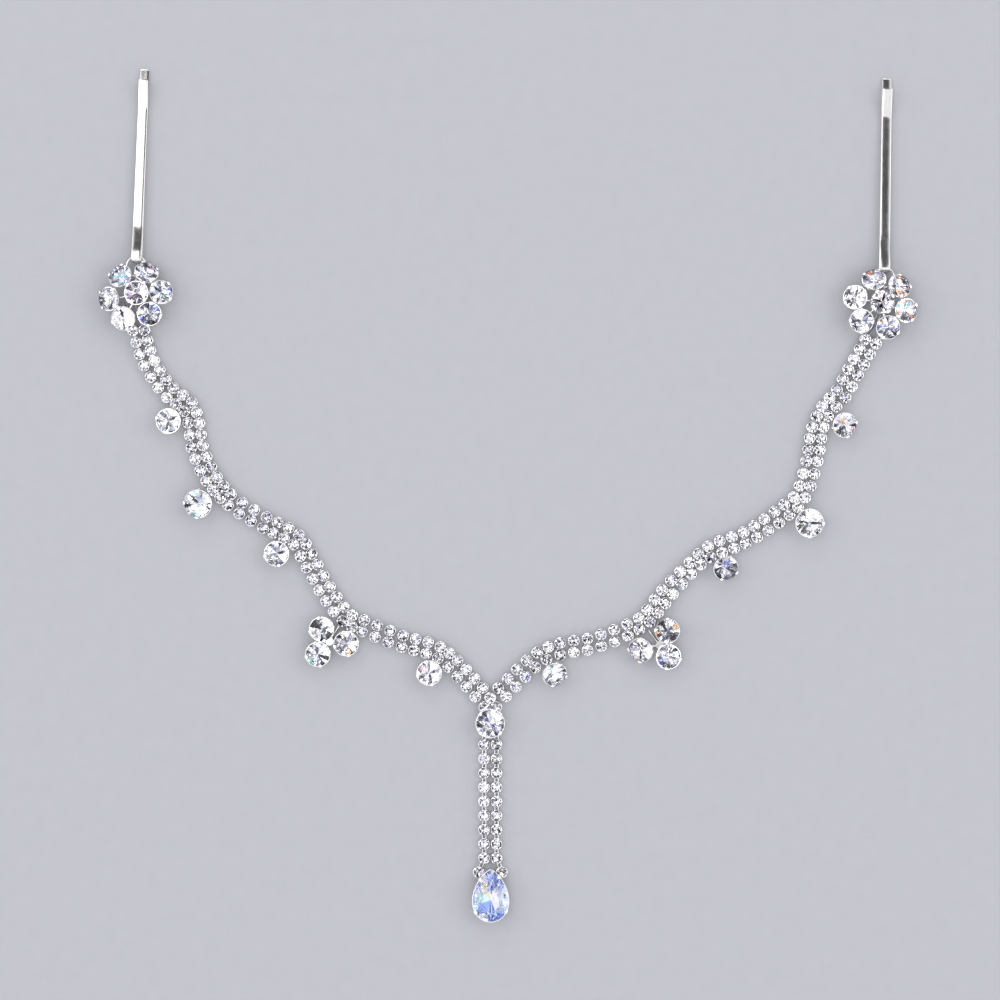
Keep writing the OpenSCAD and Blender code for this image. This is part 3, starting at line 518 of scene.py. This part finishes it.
# darker and rougher towards the bottom: 0 at the back, rising to 1 at 1.1 mm
reach = add(plate, "MapRange", {"Value": height, "From Max": 0.0011})
shine = add(plate, "Math", {0: cloud.outputs["Fac"], 1: reach.outputs["Result"]}, operation="MULTIPLY")
rough = add(plate, "MapRange", {"Value": shine.outputs["Value"], "From Max": 0.7,
                                "To Min": 0.34, "To Max": 0.08})
tone = add(plate, "ValToRGB", {"Fac": shine.outputs["Value"]})
dull, bright = tone.color_ramp.elements
dull.color, bright.color, bright.position = linear("B9B8BD"), linear("F8F7F6"), 0.5
pebble = add(plate, "Bump", {"Height": grain.outputs["Fac"], "Strength": 0.12, "Distance": 0.00003})
fill(plate_shader, {"Base Color": tone.outputs["Color"], "Roughness": rough.outputs["Result"],
                    "Normal": pebble.outputs["Normal"]})

claws = claw_ring(CLAW_LINE, CLAW_HALF_WIDTH, CLAW_HALF_THICK, oval(count=6, square=0.8))
cup = join([lathe(CUP_PROFILE, sides=14), claws])


def small_cups(node):
    """The cups of a node: one form at each of its stones' places, turned to its claws."""
    return repeat(cup, level_ring(cup_places[node], 1.0, 0.0), turned(cup_turns[node]))


def links(places):
    """A short wire between each two cups whose middles are less than NEIGHBOUR_MM apart."""
    gap = np.linalg.norm(places[:, None] - places[None], axis=-1)
    a, b = np.nonzero(np.triu(gap < NEIGHBOUR_MM, 1))
    inset = unit(places[b] - places[a]) * (CUP_R - LINK_INSET)
    starts, ends = (level_ring(xy, 1.0, WIRE_Z) for xy in (places[a] + inset, places[b] - inset))
    return rods(starts, ends, LINK_WIRE, sides=6)


def double_wire(start, end):
    """Two link wires side by side from one place to another, each half of LINK_GAP to the side."""
    start, end = np.array(start, float), np.array(end, float)
    aside = LINK_GAP / 2 * unit(np.array([start[1] - end[1], end[0] - start[0]]))
    pairs = [(start + s * aside, end + s * aside) for s in (-1, 1)]
    return rods([(*a, WIRE_Z) for a, _ in pairs], [(*b, WIRE_Z) for _, b in pairs], LINK_WIRE)


# Where each row's wires run on under the flower: the first cup's middle and the row's heading there.
# The wires lie behind that cup, from TAIL_FROM to TAIL_TO of its middle.
TAILS = {
    "left": [((-92.476, 105.053), -72.7), ((-95.524, 104.947), -73.3)],
    "right": [((100.286, 102.571), -119.7), ((103.114, 101.429), -119.5)],
}
TAIL_FROM, TAIL_TO = 1.425, 7.675
for side in SIDES:
    node = f"{side}_chain_cups"
    tails = []
    for middle, heading in TAILS[side]:
        back = -circle(np.radians([heading]))[0]
        tails.append(double_wire(middle + TAIL_FROM * back, middle + TAIL_TO * back))
    form = join([small_cups(node), links(cup_places[node])] + tails)
    chain = piece(f"{side}_chain_plated", form, [plate], soft_edge=POLISHED_EDGE)
    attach(chain, "root")
    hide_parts(node)


# Large round settings: a cone spun of brass that opens to a straight rim, with four stout claws
# soldered up its side and folded over the stone, all plated. Drops, clusters and flowers are built
# of these.
FOOT_R, WALL, RIM_H, RIM_OUT, FLOOR_T = 1.6, 0.3, 0.5, 0.22, 0.3
RIM_BELOW_GIRDLE = 0.196
POST_R, WIRE_STOP = 1.1, 1.65
# a claw stands CLAW_OUT from the stone's edge, and then folds over the stone along a line of points,
# each given as how far out from the edge and how far up from the girdle's top it is
CLAW_OUT = 0.28
CLAW_FOLD = [(CLAW_OUT, 0.08), (0.25, 0.26), (0.11, 0.41), (-0.18, 0.51), (-0.42, 0.58), (-0.485, 0.59)]
STOUT_HALF_WIDTH = [0.40, 0.42, 0.43, 0.46, 0.52, 0.48, 0.32, 0.12]
STOUT_HALF_THICK = [0.18, 0.18, 0.18, 0.18, 0.19, 0.17, 0.12, 0.05]
STOUT_SECTION = oval(count=10, square=0.75)


def large_setting(seat):
    """A cone-shaped cup and its four claws at a stone's seat. The cup is turned from a profile whose
    radii and heights follow the stone's radius, and the claws stand at 45 degrees to its x axis."""
    place_at, axes, r = seat
    girdle = POINT_MM + PAVILION_SHARE * r
    rim, out = girdle - RIM_BELOW_GIRDLE, r + RIM_OUT
    profile = [
        (FOOT_R - 0.12, 0.0), (FOOT_R, 0.12), (out - 0.03, rim - RIM_H - 0.04), (out, rim - RIM_H + 0.06),
        (out, rim - 0.07), (out - 0.06, rim), (out - WALL + 0.05, rim), (out - WALL, rim - 0.06),
        (out - WALL, rim - RIM_H), (FOOT_R - WALL, FLOOR_T),
    ]
    line = [(r + CLAW_OUT, rim - RIM_H), (r + CLAW_OUT, girdle - GIRDLE_MM)]
    line += [(r + over, girdle + GIRDLE_MM + up) for over, up in CLAW_FOLD]
    claws = claw_ring(line, STOUT_HALF_WIDTH, STOUT_HALF_THICK, STOUT_SECTION)
    claws = repeat(claws, np.zeros((1, 3)), turned(np.radians([45])))
    return repeat(join([lathe(profile, sides=40), claws]), place_at[None], axes[None])


def chain_end(start, cups):
    """Where a solder wire ends beside the chain: on the square line from its start to the line
    through the two nearest cups, WIRE_STOP short of it."""
    a, b = cups[np.argsort(np.linalg.norm(cups - start[:2], axis=1))[:2]]
    along = unit(b - a)
    beside = a + (start[:2] - a) @ along * along
    return np.array([*(beside + WIRE_STOP * unit(start[:2] - beside)), SOLDER_Z])


def past(hub, feet):
    """The ends of wires from a hub to some feet, each half a foot's radius past the foot's middle."""
    return feet + FOOT_R / 2 * unit(feet - hub)


# a cluster's three feet are soldered round a short post, which stands twice as high as the wires lie
for side in SIDES:
    chain_cups = cup_places[f"{side}_chain_cups"]
    for i in DROPS:
        node = f"{side}_drop_{i}_setting"
        seat = round_seats[f"{side}_drop_{i}_stone"]
        foot = np.array([*seat[0][:2], SOLDER_Z])
        end = chain_end(foot, chain_cups)
        wire = rods(past(end, foot), end, SOLDER_WIRE, sides=12)
        form = join([large_setting(seat), wire])
        drop = piece(f"{side}_drop_{i}_plated", form, [plate], soft_edge=POLISHED_EDGE)
        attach(drop, "root")
        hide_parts(node)
    node = f"{side}_cluster_setting"
    seats = [round_seats[f"{side}_cluster_stone_{i}"] for i in BUNCH]
    feet = np.array([s[0] for s in seats])
    hub = np.array([*feet[:, :2].mean(0), SOLDER_Z])
    feet[:, 2] = SOLDER_Z
    post = rods((*hub[:2], 0.0), (*hub[:2], 2 * SOLDER_Z), 2 * POST_R, sides=24)
    ends = np.concatenate([past(hub, feet), [chain_end(hub, chain_cups)]])
    wires = rods(np.repeat(hub[None], len(ends), 0), ends, SOLDER_WIRE, sides=12)
    form = join([large_setting(s) for s in seats] + [post, wires])
    cluster = piece(f"{side}_cluster_plated", form, [plate], soft_edge=POLISHED_EDGE)
    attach(cluster, "root")
    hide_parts(node)


# Flowers: six settings round a higher seventh, joined by solder wires at their feet to a post that
# stands on the back. A wire from the post ends in the upright eye that the hair pin's ring runs through.
PETAL_LIFT, MIDDLE_LIFT = 1.3, 1.5
EYE_AT = {"left": (-94.783, 119.447), "right": (105.229, 116.488)}
EYE_R, EYE_WIRE, EYE_SEAM, RING_Z = 0.64, 0.40, 4.0, 0.95


def hoop(middle, radius, thickness, across, up, seam, count, sides):
    """A round wire bent to a circle, its ends seam degrees apart. Its line is the middle plus the
    radius times the spoke (cos a across + sin a up), and round each point of the line runs a circle
    of half the thickness, in the plane of the spoke and the hoop's axis."""
    a = np.radians(np.linspace(seam / 2, 360 - seam / 2, count))[:, None]
    across, up = np.array(across, float), np.array(up, float)
    spoke = np.cos(a) * across + np.sin(a) * up
    line, normal = np.array(middle) + radius * spoke, np.cross(across, up)
    b = np.linspace(0, 2 * np.pi, sides, endpoint=False)[None, :, None]
    grid = line[:, None] + thickness / 2 * (np.cos(b) * spoke[:, None] - np.sin(b) * normal)
    return capped(grid, count, sides)


for side in SIDES:
    node = f"{side}_flower_setting"
    petals = [round_seats[f"{side}_flower_stone_{i}"] for i in PETALS]
    middle = round_seats[f"{side}_flower_middle_stone"]
    x, y, _ = middle[0]
    feet = np.array([p[0] for p in petals])
    feet[:, 2] = PETAL_LIFT + FLOOR_T + SOLDER_Z
    hub = np.repeat([[x, y, feet[0, 2]]], len(feet), 0)
    wires = rods(hub, past(hub, feet), SOLDER_WIRE, sides=12)
    eye_at = np.array([*EYE_AT[side], RING_Z])
    eye = hoop(eye_at, EYE_R, EYE_WIRE, (0, 1, 0), (0, 0, 1), EYE_SEAM, count=25, sides=10)
    stem = rods((x, y, RING_Z), eye_at - (0, EYE_R, 0), SOLDER_WIRE, sides=12)
    post = rods((x, y, 0.0), (x, y, PETAL_LIFT + MIDDLE_LIFT + FLOOR_T / 2), 2 * POST_R, sides=24)
    form = join([large_setting(s) for s in petals + [middle]] + [post, wires, stem, eye])
    flower = piece(f"{side}_flower_plated", form, [plate], soft_edge=POLISHED_EDGE)
    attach(flower, "root")
    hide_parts(node)


# Pin rings: jump rings of round brass wire, plated as the cups are. Each is wound, cut, and closed
# by hand round the pin's bend and the flower's eye, with a fine seam between its ends.
RING_R, RING_WIRE, RING_SEAM = 2.65, 0.42, 1.5
SEAM_WAY, SEAM_SIDE = (-0.8, -0.6, 0), (0.6, -0.8, 0)
for side in SIDES:
    node = f"{side}_pin_ring"
    low, high = (np.array(c) * MM_A_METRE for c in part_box(node))
    form = hoop((low + high) / 2, RING_R, RING_WIRE, SEAM_WAY, SEAM_SIDE, RING_SEAM, count=65, sides=12)
    ring = piece(f"{side}_ring_plated", form, [plate], soft_edge=POLISHED_EDGE)
    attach(ring, "root")
    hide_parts(node)


# Hair pins: flat spring-steel wire, nickel plated and bright, bent back on itself. The front leg is
# shorter, nips the back leg and kicks up at its tip, so that hair slides in.
PIN_L, PIN_W, PIN_T, PIN_EDGE_R, BEND_R, STEP_L = 52.0, 2.6, 0.5, 0.16, 1.35, 2.8
# past the bend the wire falls over SHOULDER_L to WAIST_GAP above the back leg, and runs on to the nip
# at NIP_GAP. From there the tip rises by TIP_RISE over TIP_L, and ends STEP_L short of the back leg.
NIP_GAP, TIP_L, TIP_RISE, SHOULDER_L, WAIST_GAP = 0.12, 7.8, 1.6, 10.0, 0.75
# each end is cut square and tumbled: shares of the width at its last and second points, and of the
# thickness at its last
END_WIDTH, NEXT_WIDTH, END_THICK = 0.72, 0.90, 0.8
# edges blunter than this many degrees shade smooth on a pin
PIN_EDGE = 30
# the bend's place, and the degrees that the pin is turned
PIN_AT = {"left": (-94.549, 122.790, -2.3), "right": (105.364, 120.337, -0.8)}
# Nickel plate on drawn spring steel: a bright, slightly warm mirror with light scuffs. Drawn wire
# keeps fine lines along its length, about 0.08 mm apart and 6 mm long.
steel, steel_shader = finish_of("nickel_plated_spring_steel", Metallic=1.0, Base_Color=linear("DEDCDA"))
place = add(steel, "TexCoord").outputs["Object"]
along = add(steel, "Mapping", {"Vector": place, "Scale": (1 / 0.00008, 1 / 0.006, 1 / 0.00008)})
lines = add(steel, "TexNoise", {"Vector": along.outputs["Vector"], "Scale": 1.0, "Detail": 2.0})
scuff = add(steel, "TexNoise", {"Vector": place, "Scale": 1 / 0.004, "Detail": 5.0, "Roughness": 0.7})
rough = add(steel, "MapRange", {"Value": scuff.outputs["Fac"], "From Min": 0.3, "From Max": 0.75,
                                "To Min": 0.07, "To Max": 0.2})
drawn = add(steel, "Bump", {"Height": lines.outputs["Fac"], "Strength": 0.05, "Distance": 0.00001})
fill(steel_shader, {"Roughness": rough.outputs["Result"], "Normal": drawn.outputs["Normal"]})


def pin_line():
    """The wire's middle line as (along, up): the back leg, a half circle, a shoulder that falls by a
    cosine from the bend to the waist, the straight front leg, and the raised tip."""
    mid, top = BEND_R - PIN_T / 2, 2 * BEND_R - PIN_T / 2
    nip, waist = PIN_T * 1.5 + NIP_GAP, PIN_T * 1.5 + WAIST_GAP
    tip = PIN_L - STEP_L
    heel = tip - TIP_L
    back = [(PIN_L, PIN_T / 2), (PIN_L - 0.12, PIN_T / 2), (PIN_L - 0.4, PIN_T / 2), (BEND_R, PIN_T / 2)]
    a = np.radians(np.arange(10, 171, 8))
    bend = np.column_stack([BEND_R - mid * np.sin(a), BEND_R - mid * np.cos(a)])
    t = np.linspace(0, 1, 13)
    fall = (1 - np.cos(np.pi * t)) / 2
    shoulder = np.column_stack([BEND_R + SHOULDER_L * t, top + (waist - top) * fall])
    front = [
        (heel - 0.6, nip + 0.01), (heel, nip), (heel + 0.6, nip + 0.06),
        (tip - 0.4, nip + TIP_RISE * 0.95), (tip - 0.12, nip + TIP_RISE * 0.985), (tip, nip + TIP_RISE),
    ]
    return np.concatenate([back, bend, shoulder, front])


def flat_section(width, thick, radius, steps=4):
    """A flat wire's section: a rectangle whose four corners are quarter circles of a given radius."""
    quarter = circle(np.radians(np.linspace(0, 90, steps))) * radius
    parts = []
    for sx, sy in [(1, 1), (-1, 1), (-1, -1), (1, -1)]:
        # a corner that is mirrored once runs backwards, so that the section keeps one direction
        arc = quarter[::sx * sy] * (sx, sy)
        parts.append(arc + (sx * (width / 2 - radius), sy * (thick / 2 - radius)))
    return np.concatenate(parts)


route = pin_line()
local = np.column_stack([np.zeros(len(route)), route])
widths, thicks = np.ones(len(route)), np.ones(len(route))
widths[[0, -1]], widths[[1, -2]], thicks[[0, -1]] = END_WIDTH, NEXT_WIDTH, END_THICK
pin_form = sweep(local, (-1, 0, 0), flat_section(PIN_W, PIN_T, PIN_EDGE_R), widths, thicks)
for side in SIDES:
    x, y, heading = PIN_AT[side]
    form = repeat(pin_form, np.array([[x, y, 0.0]]), turned(np.radians([heading])))
    pin = piece(f"{side}_hair_pin_steel", form, [steel], soft_edge=PIN_EDGE)
    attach(pin, "root")
    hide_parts(f"{side}_hair_pin")


# Centre setting: a large round setting at the fork, with three small cups above it where the two
# sides of the chain meet, all of the same plated brass. Solder wires join its foot to the outer two,
# which lie more than OFF_MIDDLE to the side.
OFF_MIDDLE = 0.5
node = "centre_setting"
first = cup_places[node]
seat = round_seats["centre_stone"]
hub = (*seat[0][:2], SOLDER_Z)
legs = [(*p, SOLDER_Z) for p in first if abs(p[0]) > OFF_MIDDLE]
wires = rods([hub] * len(legs), legs, SOLDER_WIRE, sides=12)
form = join([large_setting(seat), small_cups(node), links(first), wires])
centre = piece("centre_plated", form, [plate], soft_edge=POLISHED_EDGE)
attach(centre, "root")
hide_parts(node)


# Centre strand: two rows of small plated cups, soldered on double link wires that show between the
# cups. The first wires start at the centre setting's foot, and the last pair of cups flares out
# beside the pear's tip.
STRAND_FROM, STRAND_INSET = -1.92, 0.13
places = cup_places["drop_strand_cups"]
parts = [small_cups("drop_strand_cups")]
for way in (-1, 1):
    row = places[places[:, 0] * way > 0]
    row = row[np.argsort(-row[:, 1])]
    x, y = row[0]
    parts.append(double_wire((x, STRAND_FROM), (x, y + CUP_R - STRAND_INSET)))
    for a, b in zip(row[:-1], row[1:]):
        inset = unit(b - a) * (CUP_R - STRAND_INSET)
        parts.append(double_wire(a + inset, b - inset))
strand = piece("drop_strand_plated", join(parts), [plate], soft_edge=POLISHED_EDGE)
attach(strand, "root")
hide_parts("drop_strand_cups")


# Pear drop: a pear-cut stone of pale ice-blue glass, foiled behind, in a stamped box setting whose
# rim follows the stone, with four claws. Its foil shows painted fire in patches to the left of the
# middle, and painted light and shade elsewhere.
PEAR_AT = (0.1, -45.9)
PEAR_W, PEAR_L, PEAR_INSET, PEAR_SHELF = 10.0, 14.3, 1.1, 2.05
PEAR_PAVILION, PEAR_CROWN, PEAR_GIRDLE = 3.0, 1.5, 48
# the setting is PEAR_GROW wider and longer than its stone, and its rim keeps PEAR_CLEAR from the
# stone's underside
PEAR_GROW, PEAR_CLEAR = 0.44, 0.11
# the cut's point lies in the belly, below the outline's middle, and its lower facets are long
PEAR_POINT, PEAR_LOW_SHARE = (0.15, -1.3), 0.55
# where the claws stand, in degrees from the tip, and how they fold, as the round settings' claws do
PEAR_CLAWS = (43, 127, 231, 309)
PEAR_FOLD = [(0.31, 0.08), (0.26, 0.26), (0.11, 0.40), (-0.18, 0.49), (-0.40, 0.57), (-0.485, 0.585)]
PEAR_HALF_WIDTH = [0.38, 0.42, 0.45, 0.47, 0.47, 0.43, 0.30, 0.12]
PEAR_HALF_THICK = [0.17, 0.19, 0.19, 0.19, 0.19, 0.17, 0.13, 0.05]


def belly(t):
    """How far out a pear's side is at the angle t from its tip: sin t times the root of sin t/2."""
    return np.sin(t) * np.sqrt(np.abs(np.sin(t / 2)))


def pear(inset, degrees):
    """Places on a pear that is two insets narrower and shorter than the setting: across by belly over
    its largest value, and along by cos t, with t counted from the tip."""
    t = np.radians(degrees)
    width, length = PEAR_W - 2 * inset, PEAR_L - 2 * inset
    widest = belly(np.radians(np.arange(181))).max()
    return np.stack([width / 2 * belly(t) / widest, length / 2 * np.cos(t)], -1)


def pear_round(inset, count):
    """A whole pear outline of count points, which starts at the tip and runs down the left side."""
    return pear(inset, -360.0 * np.arange(count) / count)


def pear_wall(rings, count):
    """A form whose rings are pears, each (inset, height), closed at both ends like a lathe's."""
    grid = [level_ring(pear_round(inset, count), 1.0, z) for inset, z in rings]
    return capped(np.array(grid), len(rings), count)


# Pale ice-blue lead glass, cut and polished: a faint blue in its thickness
ice, _ = finish_of("ice_blue_glass", Base_Color=linear("F4F6FF"), Roughness=0.0, IOR=1.6,
                   Transmission_Weight=1.0)
# Silver foil behind it, its colour painted light, shade and fire, a little less sharp than the round
# stones', so its facets run together
pear_foil = foil_of("pear_foil_painted_light", 0.07)
outline = pear_round(PEAR_GROW / 2, PEAR_GIRDLE)
pear_cut, pear_backed = brilliant(outline - PEAR_POINT, POINT_MM + PEAR_PAVILION, PEAR_PAVILION,
                                  PEAR_CROWN, PEAR_LOW_SHARE)
painted_light = np.tile(linear("FFFFFF"), (len(pear_backed), 1))
# The lower facets' colours, over the stone's own pale blue: darker blues are painted shade in that
# blue, whites are painted highlights, and faint pinks, amber and green-blue are painted fire. The rows
# are the long facets after each eighth of the outline, those before the next, and the kites at the
# eighths. Each ring starts at the tip and runs down the left side.
PEAR_BLUE_AND_PAINTED_LIGHT = [
    ["F0F3FD", "ECF0FC", "D8E4F9", "FFFFFF", "93A6D6", "FFF8F8", "FFFFFF", "F4F5FE"],
    ["F0F3FD", "F6F2FC", "E0EAFC", "FFFFFF", "8799CC", "FFFFFF", "E2ECFC", "F4F5FE"],
    ["F4F5FE", "FFEECB", "DFFBF6", "9DB7F4", "98AADC", "F2F5FF", "FFFFFF", "FBF5FC"],
]
painted_light[pear_backed == 1] = [linear(code) for ring in PEAR_BLUE_AND_PAINTED_LIGHT for code in ring]
at = np.array([[*PEAR_AT, 0.0]])
form = repeat(pear_cut, at + (*PEAR_POINT, 0.0), np.eye(3)[None])
stone = piece("pear_stone_cut", form, [ice, pear_foil], pear_backed, painted_light)
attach(stone, "root")
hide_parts("pear_stone")

girdle = POINT_MM + PEAR_PAVILION
slope = math.atan2(PEAR_PAVILION, (PEAR_W - PEAR_GROW) / 2)
rim = girdle - (WALL - PEAR_GROW / 2) * math.tan(slope) - PEAR_CLEAR / math.cos(slope)
box_rings = [
    (PEAR_INSET + 0.1, 0.0), (PEAR_INSET, 0.12), (PEAR_INSET, PEAR_SHELF - 0.1),
    (0.05, PEAR_SHELF + 0.05), (0.0, PEAR_SHELF + 0.15), (0.0, rim - 0.07), (0.06, rim),
    (WALL - 0.05, rim), (WALL, rim - 0.06), (WALL, PEAR_SHELF + 0.36),
    (PEAR_INSET + WALL, PEAR_SHELF + 0.28), (PEAR_INSET + WALL, FLOOR_T),
]
line = [(0.29, PEAR_SHELF + 0.2), (0.31, girdle - GIRDLE_MM)]
line += [(over, girdle + GIRDLE_MM + up) for over, up in PEAR_FOLD]
line = [(out, 0, up) for out, up in line]
claw = sweep(line, (0, 1, 0), STOUT_SECTION, PEAR_HALF_WIDTH, PEAR_HALF_THICK)
parts = [pear_wall(box_rings, count=72)]
for degrees in PEAR_CLAWS:
    # a claw stands on the stone's edge and faces square out from it
    edge, ahead = pear(PEAR_GROW / 2, degrees), pear(PEAR_GROW / 2, degrees + 1)
    along_x, along_y = ahead - edge
    facing = math.atan2(along_y, along_x) + math.pi / 2
    parts.append(repeat(claw, np.array([[*edge, 0.0]]), turned(np.array([facing]))))
form = repeat(join(parts), at, np.eye(3)[None])
setting = piece("pear_plated", form, [plate], soft_edge=POLISHED_EDGE)
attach(setting, "root")
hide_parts("pear_setting")
